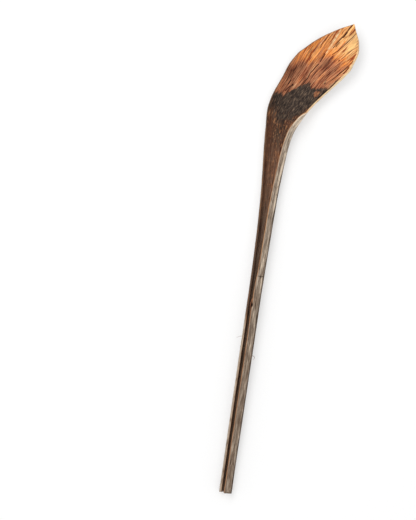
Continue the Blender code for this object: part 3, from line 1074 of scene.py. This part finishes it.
def tint(red, green, blue):
    """A colour given as on a screen, 0 to 255, as the linear numbers that a material holds."""
    part = np.array([red, green, blue]) / 255
    return tuple(np.where(part <= 0.04045, part / 12.92, ((part + 0.055) / 1.055) ** 2.4).tolist())


def add(tree, kind, inputs=(), **settings):
    """A new node with its settings, and its inputs given as values or as the sockets that feed them."""
    made = tree.nodes.new(kind)
    for name, value in settings.items():
        setattr(made, name, value)
    for key, value in dict(inputs).items():
        if isinstance(value, bpy.types.NodeSocket):
            tree.links.new(value, made.inputs[key])
        else:
            made.inputs[key].default_value = value
    return made


def maths(tree, operation, first, second=0.0, clamp=False):
    """The output of a Math node."""
    return add(tree, "ShaderNodeMath", {0: first, 1: second}, operation=operation, use_clamp=clamp).outputs[0]


def spread(tree, value, low, high, start=0.0, end=1.0):
    """The value's range from low to high carried over to start to end."""
    ranged = add(tree, "ShaderNodeMapRange", {0: value, 1: low, 2: high, 3: start, 4: end})
    return ranged.outputs[0]


def blend(tree, factor, first, second, mode="MIX"):
    """The output of a colour Mix node. A colour of three numbers gets its alpha here."""
    inputs = {0: factor}
    for socket, colour in ((6, first), (7, second)):
        inputs[socket] = colour if isinstance(colour, bpy.types.NodeSocket) else (*colour, 1.0)
    return add(tree, "ShaderNodeMix", inputs, data_type="RGBA", blend_type=mode).outputs[2]


def shade(tree, colour, value, amount):
    """The colour made darker where the value is 0 and lighter where it is 1."""
    return blend(tree, 1.0, colour, spread(tree, value, 0.0, 1.0, 1 - amount, 1 + amount), "MULTIPLY")


def mask(tree, name):
    """The piece's own attribute of that name."""
    return add(tree, "ShaderNodeAttribute", attribute_name=name).outputs["Fac"]


def colour_ramp(tree, value, stops):
    """A colour that runs through the stops, each a position and a colour."""
    made = add(tree, "ShaderNodeValToRGB", {0: value})
    elements = made.color_ramp.elements
    for _ in stops[2:]:
        elements.new(0.5)
    for element, (position, colour) in zip(elements, stops):
        element.position = position
        element.color = (*colour, 1.0)
    return made.outputs[0]


def new_group(name, inputs, outputs):
    """An empty node group with its sockets, each a name, a kind and for an input its default."""
    tree = bpy.data.node_groups.new(name, "ShaderNodeTree")
    for label, kind, default in inputs:
        socket = tree.interface.new_socket(label, in_out="INPUT", socket_type=f"NodeSocket{kind}")
        if default is not None:
            socket.default_value = default
    for label, kind in outputs:
        tree.interface.new_socket(label, in_out="OUTPUT", socket_type=f"NodeSocket{kind}")
    return tree, tree.nodes.new("NodeGroupInput").outputs, tree.nodes.new("NodeGroupOutput")


def fibre_grain():
    """Streaks along the fibres: noise on the fibre map, squeezed across it and drawn out along it."""
    found = bpy.data.node_groups.get("fibre_grain")
    if found:
        return found
    inputs = (("Map", "Vector", None), ("Width", "Float", 0.001), ("Length", "Float", 0.03))
    tree, given, result = new_group("fibre_grain", inputs, (("Streak", "Float"),))
    parts = add(tree, "ShaderNodeSeparateXYZ", {0: given["Map"]}).outputs
    across = maths(tree, "DIVIDE", parts[0], given["Width"])
    along = maths(tree, "DIVIDE", parts[1], given["Length"])
    place = add(tree, "ShaderNodeCombineXYZ", {0: across, 1: along}).outputs[0]
    inputs = {"Vector": place, "Scale": 1.0, "Detail": 4.0, "Roughness": 0.65}
    streak = add(tree, "ShaderNodeTexNoise", inputs, noise_dimensions="2D").outputs[0]
    tree.links.new(spread(tree, streak, 0.28, 0.72), result.inputs[0])
    return tree


def streaked():
    """A colour varied by the three widths of streak of STREAK_PARTS, and the streaks as a height for a
    bump."""
    found = bpy.data.node_groups.get("streaked")
    if found:
        return found
    inputs = (
        ("Map", "Vector", None),
        ("Color", "Color", None),
        ("Width", "Float", 0.0008),
        ("Length", "Float", 0.02),
        ("Amount", "Float", 0.2),
    )
    tree, given, result = new_group("streaked", inputs, (("Color", "Color"), ("Height", "Float")))
    height = 0.0
    for wider, longer, weight in STREAK_PARTS:
        width = maths(tree, "MULTIPLY", given["Width"], wider)
        length = maths(tree, "MULTIPLY", given["Length"], longer)
        part = maths(tree, "MULTIPLY", grain(tree, given["Map"], width, length), weight)
        height = maths(tree, "ADD", part, height)
    amount = maths(tree, "MULTIPLY", given["Amount"], STREAK_GAIN)
    factor = maths(tree, "ADD", maths(tree, "MULTIPLY", maths(tree, "SUBTRACT", height, 0.5), amount), 1.0)
    tree.links.new(blend(tree, 1.0, given["Color"], factor, "MULTIPLY"), result.inputs[0])
    tree.links.new(height, result.inputs[1])
    return tree


def grain(tree, position, width, length):
    """The streaks of one fibre_grain group."""
    inputs = {"Map": position, "Width": width, "Length": length}
    return add(tree, "ShaderNodeGroup", inputs, node_tree=fibre_grain()).outputs[0]


def streaks(tree, position, colour, width, length, amount):
    """The colour and the height that one streaked group gives."""
    inputs = {"Map": position, "Color": colour, "Width": width, "Length": length, "Amount": amount}
    made = add(tree, "ShaderNodeGroup", inputs, node_tree=streaked())
    return made.outputs[0], made.outputs[1]


def varied(tree, value, position, width, length, reach):
    """The value moved up and down by streaks along the fibres, by the reach at most."""
    moved = spread(tree, grain(tree, position, width, length), 0.0, 1.0, -reach, reach)
    return maths(tree, "ADD", value, moved)


def new_material(name, specular):
    """A material with a Principled shader, its tree and the fibre map."""
    made = bpy.data.materials.new(name)
    made.use_nodes = True
    tree = made.node_tree
    shader = tree.nodes["Principled BSDF"]
    shader.inputs["Specular IOR Level"].default_value = specular
    position = add(tree, "ShaderNodeUVMap", uv_map="fibre").outputs[0]
    return made, tree, shader, position


def finish_surface(tree, shader, colour, roughness, height, strength, distance):
    """Puts the colour, the roughness and a bump of the height on the shader."""
    tree.links.new(colour, shader.inputs["Base Color"])
    tree.links.new(roughness, shader.inputs["Roughness"])
    inputs = {"Strength": strength, "Distance": distance, "Height": height}
    bump = add(tree, "ShaderNodeBump", inputs)
    tree.links.new(bump.outputs[0], shader.inputs["Normal"])


# ---------------------------------------------------------------- materials


def inner_material(finish):
    """The inner face: husk that runs from dark brown over orange to gold, charred in a ragged band, with
    furrows, golden flecks, pale ridges and dark grooves."""
    made, tree, shader, position = new_material("husk_inner", 0.22)
    ripe = mask(tree, "ripe")
    stops = (
        (0.0, finish.husk),
        (0.22, finish.brown),
        (0.45, finish.tan),
        (0.70, finish.orange),
        (1.0, finish.gold),
    )
    colour = colour_ramp(tree, ripe, stops)
    colour = blend(tree, mask(tree, "bleach"), colour, finish.inside_grey)
    rust = spread(tree, grain(tree, position, 0.004, 0.016), 0.5, 0.9)
    colour = blend(tree, maths(tree, "MULTIPLY", rust, 0.22), colour, finish.rust)
    colour, height = streaks(tree, position, colour, 0.0006, 0.011, 0.24)
    open_wood = maths(tree, "SUBTRACT", 1.0, mask(tree, "smooth"))
    furrows = grain(tree, position, 0.0010, 0.026)
    seams = grain(tree, position, 0.0024, 0.040)
    valley = maths(tree, "MULTIPLY", spread(tree, furrows, 0.20, 0.44, 1.0, 0.0), open_wood)
    colour = blend(tree, valley, colour, finish.furrow, "MULTIPLY")
    seam = maths(tree, "MULTIPLY", spread(tree, seams, 0.14, 0.27, 1.0, 0.0), open_wood)
    colour = blend(tree, seam, colour, finish.furrow, "MULTIPLY")
    crest = maths(tree, "MULTIPLY", spread(tree, furrows, 0.62, 0.95, 0.0, 0.6), open_wood)
    colour = blend(tree, maths(tree, "MULTIPLY", crest, ripe), colour, finish.crest)
    flecks = varied(tree, mask(tree, "fleck"), position, 0.0008, 0.003, 0.3)
    colour = blend(tree, spread(tree, flecks, 0.25, 0.75), colour, finish.fleck)
    strokes = grain(tree, position, 0.0009, 0.0065)
    ash = colour_ramp(tree, strokes, ((0.10, finish.crack), (0.50, finish.charcoal), (1.0, finish.ash)))
    ash, _ = streaks(tree, position, ash, 0.0010, 0.008, 0.45)
    char = spread(tree, varied(tree, mask(tree, "char"), position, 0.0011, 0.009, 0.42), 0.38, 0.62)
    colour = blend(tree, char, colour, ash)
    # painted shade and painted highlight on the ribs
    colour = shade(tree, colour, mask(tree, "rib_shading"), 0.30)
    # pale ridges, partly painted highlight, and the pale band beside the blade's right rim
    colour = blend(tree, mask(tree, "pale"), colour, finish.crest)
    ragged = spread(tree, grain(tree, position, 0.0005, 0.005), 0.0, 1.0, 0.55, 1.25)
    # painted shade in grooves, pits and cracks, with the throat's dark specks: darkened, then near black
    # where the mask is strong
    shade_and_dark_marks = maths(tree, "MULTIPLY", mask(tree, "shade_and_dark_marks"), ragged, True)
    colour = blend(tree, shade_and_dark_marks, colour, finish.groove_shade, "MULTIPLY")
    colour = blend(tree, spread(tree, shade_and_dark_marks, 0.40, 1.0), colour, finish.crack)
    height = maths(tree, "ADD", height, maths(tree, "MULTIPLY", furrows, 1.5))
    roughness = spread(tree, height, 0.0, 2.5, 0.58, 0.78)
    finish_surface(tree, shader, colour, roughness, height, 0.7, 0.0004)
    return made


def weathered(tree, position, finish):
    """The weathered skin's colour and a height for its bump, from the bleach mask."""
    bleach = varied(tree, mask(tree, "bleach"), position, 0.005, 0.03, 0.14)
    stops = ((0.0, finish.bark), (0.35, finish.grey_brown), (0.62, finish.grey), (1.0, finish.bleached))
    colour = colour_ramp(tree, bleach, stops)
    colour, height = streaks(tree, position, colour, 0.0008, 0.018, 0.22)
    lines = grain(tree, position, 0.0017, 0.017)
    colour = blend(tree, spread(tree, lines, 0.10, 0.40, 1.0, 0.0), colour, finish.weather_line, "MULTIPLY")
    colour = blend(tree, spread(tree, lines, 0.66, 0.95, 0.0, 0.75), colour, finish.bleached)
    return colour, maths(tree, "ADD", height, maths(tree, "MULTIPLY", lines, 1.5))


def outer_material(finish):
    """The outer face: weathered skin, brown where it is sheltered and bleached where it stood in the sun,
    with fine furrows, dark cracks and a brown stain here and there."""
    made, tree, shader, position = new_material("husk_outer", 0.25)
    colour, height = weathered(tree, position, finish)
    stain = spread(tree, grain(tree, position, 0.003, 0.012), 0.62, 0.95)
    colour = blend(tree, maths(tree, "MULTIPLY", stain, 0.4), colour, finish.bark)
    # painted shade and painted highlight on the furrows
    colour = shade(tree, colour, mask(tree, "rib_shading"), 0.14)
    # painted shade inside the cracks and the cross crack, together with the dark streaks
    colour = blend(tree, mask(tree, "shade_and_dark_marks"), colour, finish.crack)
    roughness = spread(tree, height, 0.0, 2.5, 0.55, 0.74)
    finish_surface(tree, shader, colour, roughness, height, 0.7, 0.0004)
    return made


def rim_material(finish):
    """The rims: the wall's broken edge, bare wood from brown to cream on its inner side and weathered skin
    on its outer side, dark in the notch."""
    made, tree, shader, position = new_material("husk_rim", 0.22)
    tone = varied(tree, mask(tree, "tone"), position, 0.002, 0.014, 0.14)
    stops = ((0.0, finish.bark), (0.4, finish.edge), (0.7, finish.pale_edge), (1.0, finish.cream))
    wood = colour_ramp(tree, tone, stops)
    wood, _ = streaks(tree, position, wood, 0.0005, 0.008, 0.38)
    skin, height = weathered(tree, position, finish)
    colour = blend(tree, mask(tree, "edge"), wood, skin)
    # painted shade on the rim's inner side in the notch
    colour = blend(tree, mask(tree, "shade_and_dark_marks"), colour, finish.crack)
    roughness = spread(tree, height, 0.0, 2.5, 0.6, 0.8)
    finish_surface(tree, shader, colour, roughness, height, 0.7, 0.0004)
    return made


def foot_material(finish):
    """The cut foot: pale pith with the darker ends of the bundles that run along the stalk."""
    made, tree, shader, position = new_material("husk_foot", 0.2)
    cells = add(tree, "ShaderNodeTexVoronoi", {"Vector": position, "Scale": 2200.0}, voronoi_dimensions="2D")
    bundle = spread(tree, cells.outputs["Distance"], 0.15, 0.60)
    colour = blend(tree, spread(tree, bundle, 0.0, 1.0, 0.25, 1.0), finish.bundle, finish.pith)
    colour, height = streaks(tree, position, colour, 0.0011, 0.0008, 0.45)
    height = maths(tree, "ADD", height, bundle)
    roughness = spread(tree, height, 0.0, 2.0, 0.7, 0.9)
    finish_surface(tree, shader, colour, roughness, height, 0.6, 0.0002)
    return made


def fibre_material(finish):
    """Loose fibres: the colour of the face they split from, a little paler, varied along each."""
    made = bpy.data.materials.new("loose_fibre")
    made.use_nodes = True
    tree = made.node_tree
    shader = tree.nodes["Principled BSDF"]
    shader.inputs["Specular IOR Level"].default_value = 0.25
    stops = ((0.0, finish.bark), (0.25, finish.brown), (0.5, finish.tan), (1.0, finish.cream))
    colour = colour_ramp(tree, mask(tree, "ripe"), stops)
    position = add(tree, "ShaderNodeTexCoord").outputs["Object"]
    patches = add(tree, "ShaderNodeTexNoise", {"Vector": position, "Scale": 400.0, "Detail": 2.0}).outputs[0]
    colour = shade(tree, colour, patches, 0.35)
    roughness = spread(tree, patches, 0.3, 0.7, 0.6, 0.8)
    finish_surface(tree, shader, colour, roughness, patches, 0.3, 0.0001)
    return made


# ---------------------------------------------------------------- the add-on


def colour_property(name, description, red, green, blue):
    """A colour that a user can change."""
    default = tint(red, green, blue)
    return FloatVectorProperty(
        name=name, description=description, subtype="COLOR", size=3, min=0.0, max=1.0, default=default
    )


class FrondFinish(bpy.types.PropertyGroup):
    """The frond's colours."""

    husk: colour_property("Husk", "Inner face where it is darkest", 74, 54, 40)
    brown: colour_property("Brown", "Inner face, dull brown", 148, 92, 62)
    tan: colour_property("Tan", "Inner face, middle brown", 194, 126, 88)
    orange: colour_property("Orange", "Inner face, ripe", 255, 157, 74)
    gold: colour_property("Gold", "Inner face at the tip", 255, 202, 132)
    # also the pale ridges' colour, there partly painted highlight
    crest: colour_property("Crest", "Pale fibres between the furrows", 255, 222, 170)
    rust: colour_property("Rust", "Reddish stain along the fibres", 138, 74, 42)
    inside_grey: colour_property("Inside grey", "Weathered bottom of the channel", 136, 116, 98)
    fleck: colour_property("Fleck", "Golden flecks in the dark throat", 172, 120, 80)
    furrow: colour_property("Furrow", "Multiplies the inner face's colour in its furrows", 160, 104, 72)
    # painted shade: multiplies the inner face's colour in its grooves, pits and cracks
    groove_shade: colour_property("Groove", "Multiplies the inner face's colour in its grooves", 176, 116, 72)
    charcoal: colour_property("Charcoal", "The charred band", 60, 49, 42)
    ash: colour_property("Ash", "Pale streaks in the charred band", 122, 101, 82)
    # near black: painted shade inside cracks, grooves, pits and the notch; the charred band's darkest strokes
    # use it too
    crack: colour_property("Crack", "Inside of cracks and grooves", 30, 18, 11)
    cream: colour_property("Cream", "Fresh ridges and the cut rim", 240, 214, 170)
    edge: colour_property("Edge", "Broken edge, brown wood", 164, 114, 78)
    pale_edge: colour_property("Pale edge", "Broken edge, pale wood", 214, 160, 108)
    bark: colour_property("Bark", "Outer face where it is sheltered", 92, 70, 54)
    pith: colour_property("Pith", "The cut foot", 176, 146, 114)
    bundle: colour_property("Bundle", "Ends of the bundles in the cut foot", 118, 92, 70)
    grey_brown: colour_property("Grey brown", "Outer face, lightly weathered", 126, 105, 87)
    grey: colour_property("Grey", "Outer face, weathered", 159, 142, 125)
    bleached: colour_property("Bleached", "Outer face, bleached", 228, 208, 184)
    weather_line: colour_property("Weather line", "Multiplies the outer colour in its lines", 144, 126, 110)


class FrondShape(bpy.types.PropertyGroup):
    """The frond's sizes that a user can change."""

    splinters: IntProperty(
        name="Splinters", description="How many splinters lie on the inner face", default=70, min=0, max=400
    )


class FrondStage(bpy.types.PropertyGroup):
    """The camera and the light."""

    turn: FloatProperty(
        name="Camera turn",
        description="Turn of the camera about its line of sight",
        default=np.radians(8.5),
        unit="ROTATION",
    )
    distance: FloatProperty(
        name="Camera height",
        description="From the frond up to the camera",
        default=2.2,
        min=0.5,
        unit="LENGTH",
    )
    view_height: FloatProperty(
        name="View height",
        description="How much the picture takes in, top to bottom",
        default=0.676,
        unit="LENGTH",
    )
    key_power: FloatProperty(
        name="Key light", description="Power of the large soft light", default=17.5, unit="POWER"
    )
    floor_glow: FloatProperty(
        name="Floor glow",
        description="How much the floor shines by itself, like a lightbox",
        default=0.45,
        min=0.0,
    )
    sky: FloatProperty(
        name="Sky", description="Strength of the even white light all round", default=0.80, min=0.0
    )


def make_stage(stage):
    """A pale floor, an even white sky, one large soft light, and the camera straight above the frond."""
    floor_mesh = bpy.data.meshes.new("floor")
    angle = np.linspace(0, 2 * np.pi, 65)[:-1]
    rim = np.stack([np.cos(angle), np.sin(angle), 0 * angle], axis=1) * FLOOR_RADIUS
    floor_mesh.from_pydata(rim.tolist(), [], [list(range(len(rim)))])
    floor_material = bpy.data.materials.new("floor")
    floor_material.use_nodes = True
    surface = floor_material.node_tree.nodes["Principled BSDF"]
    surface.inputs["Base Color"].default_value = FLOOR_COLOUR
    surface.inputs["Emission Color"].default_value = WHITE
    surface.inputs["Emission Strength"].default_value = stage.floor_glow
    surface.inputs["Roughness"].default_value = 0.8
    surface.inputs["Specular IOR Level"].default_value = 0.1
    floor_mesh.materials.append(floor_material)
    floor = bpy.data.objects.new("floor", floor_mesh)
    bpy.context.scene.collection.objects.link(floor)

    world = bpy.data.worlds.new("studio")
    bpy.context.scene.world = world
    world.use_nodes = True
    tree = world.node_tree
    background = tree.nodes["Background"]
    background.inputs["Color"].default_value = WHITE
    seen = add(tree, "ShaderNodeLightPath").outputs["Is Camera Ray"]
    tree.links.new(spread(tree, seen, 0.0, 1.0, stage.sky, SEEN_SKY), background.inputs["Strength"])

    lamp = bpy.data.lights.new("key", "AREA")
    lamp.shape = "DISK"
    lamp.size = KEY_SIZE
    lamp.energy = stage.key_power
    key = bpy.data.objects.new("key", lamp)
    key.location = KEY_PLACE
    key.rotation_euler = (-key.location).to_track_quat("-Z", "Y").to_euler()
    bpy.context.scene.collection.objects.link(key)

    low, high = CAD_BOX
    lens = bpy.data.cameras.new("camera")
    lens.sensor_width = SENSOR
    lens.lens = lens.sensor_width * stage.distance / stage.view_height
    lens.clip_end = CAMERA_REACH
    camera = bpy.data.objects.new("camera", lens)
    camera.location = (*VIEW_CENTRE, (low.z + high.z) / 2 + stage.distance)
    camera.rotation_euler = (0.0, 0.0, stage.turn)
    bpy.context.scene.collection.objects.link(camera)
    bpy.context.scene.camera = camera
    bpy.context.scene.view_settings.view_transform = "Standard"


class FROND_OT_shell(bpy.types.Operator):
    """Build the frond's woody wall"""

    bl_idname = "frond.shell"
    bl_label = "Frond wall"

    def execute(self, context):
        finish = context.scene.frond_finish
        makers = (outer_material, rim_material, inner_material, foot_material)
        make_shell([maker(finish) for maker in makers])
        return {"FINISHED"}


class FROND_OT_fibres(bpy.types.Operator):
    """Build the loose fibres and splinters"""

    bl_idname = "frond.fibres"
    bl_label = "Loose fibres"

    def execute(self, context):
        make_fibres([fibre_material(context.scene.frond_finish)], context.scene.frond_shape.splinters)
        return {"FINISHED"}


class FROND_OT_stage(bpy.types.Operator):
    """Set up the floor, the light and the camera"""

    bl_idname = "frond.stage"
    bl_label = "Stage"

    def execute(self, context):
        make_stage(context.scene.frond_stage)
        return {"FINISHED"}


class FROND_PT_panel(bpy.types.Panel):
    """The frond's operators and settings"""

    bl_idname = "FROND_PT_panel"
    bl_label = "Dried Palm Frond"
    bl_space_type = "VIEW_3D"
    bl_region_type = "UI"
    bl_category = "Frond"

    def draw(self, context):
        for operator in OPERATORS:
            self.layout.operator(operator.bl_idname)
        for settings in (context.scene.frond_shape, context.scene.frond_finish, context.scene.frond_stage):
            box = self.layout.box()
            for name in settings.__annotations__:
                box.prop(settings, name)


OPERATORS = (FROND_OT_stage, FROND_OT_shell, FROND_OT_fibres)
SETTINGS = {"frond_shape": FrondShape, "frond_finish": FrondFinish, "frond_stage": FrondStage}
CLASSES = (*SETTINGS.values(), *OPERATORS, FROND_PT_panel)


def register():
    """Makes the classes and the settings known."""
    for kind in CLASSES:
        bpy.utils.register_class(kind)
    for name, kind in SETTINGS.items():
        setattr(bpy.types.Scene, name, PointerProperty(type=kind))


def unregister():
    """Takes the settings and the classes away again."""
    for name in SETTINGS:
        delattr(bpy.types.Scene, name)
    for kind in reversed(CLASSES):
        bpy.utils.unregister_class(kind)


def main():
    register()
    bpy.ops.frond.stage()
    bpy.ops.frond.shell()
    bpy.ops.frond.fibres()


if __name__ == "__main__":
    main()
